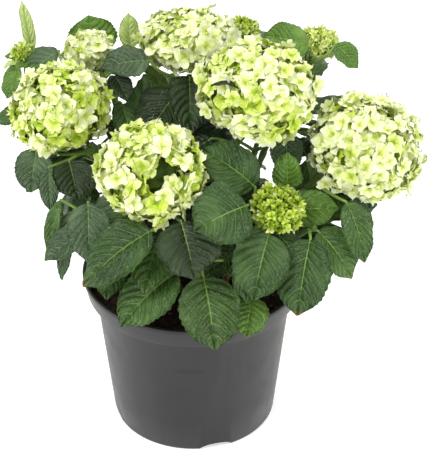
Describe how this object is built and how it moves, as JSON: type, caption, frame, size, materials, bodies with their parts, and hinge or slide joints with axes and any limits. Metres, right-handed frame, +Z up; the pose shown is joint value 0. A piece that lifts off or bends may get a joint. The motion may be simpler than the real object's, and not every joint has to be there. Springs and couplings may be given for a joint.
{
  "type": "potted hydrangea shrub",
  "caption": "Rounded mophead hydrangea shrub in a dark plastic nursery pot, with large pale green flower heads over broad leaves.",
  "frame": {"origin": "middle of the pot's flat underside", "axes": "+Z up along the pot's axis, -Y towards the front of the plant, +X to its right"},
  "size_m": [0.4398, 0.3679, 0.4348],
  "materials": {
    "pot": "smooth moulded plastic, dark grey, faintly glossy",
    "compost": "dark crumbly peat compost",
    "cane": "woody canes, brown at the foot, turning green higher up",
    "leaf": "broad serrated leaves, mid green and slightly glossy above, paler below, on green stalks",
    "head": "four-sepalled florets, creamy white at the margins and lime green at the middle",
    "young_head": "small unopened florets, lime green"
  },
  "bodies": {
    "root": {"pot": "pot", "compost": "compost", "cane-left": "cane", "leaves-left": "leaf", "head-left": "head", "cane-upper-left": "cane", "leaves-upper-left": "leaf", "head-upper-left": "young_head", "cane-crown": "cane", "leaves-crown": "leaf", "head-crown": "head", "cane-middle": "cane", "leaves-middle": "leaf", "head-middle": "head", "cane-right": "cane", "leaves-right": "leaf", "head-right": "head", "cane-front": "cane", "leaves-front": "leaf", "head-front": "head", "cane-green": "cane", "leaves-green": "leaf", "head-green": "young_head", "cane-upper-right": "cane", "leaves-upper-right": "leaf", "head-upper-right": "young_head", "cane-far-left": "cane", "leaves-far-left": "leaf", "head-far-left": "young_head", "cane-behind": "cane", "leaves-behind": "leaf", "head-behind": "young_head", "cane-back-right": "cane", "leaves-back-right": "leaf", "head-back-right": "head", "cane-back": "cane", "leaves-back": "leaf", "head-back": "head", "cane-back-left": "cane", "leaves-back-left": "leaf", "head-back-left": "head", "cane-low-front": "cane", "leaves-low-front": "leaf", "cane-low-left": "cane", "leaves-low-left": "leaf", "cane-low-right": "cane", "leaves-low-right": "leaf", "cane-side-right": "cane", "leaves-side-right": "leaf", "cane-side-left": "cane", "leaves-side-left": "leaf", "cane-low-back": "cane", "leaves-low-back": "leaf"}
  },
  "joints": []
}
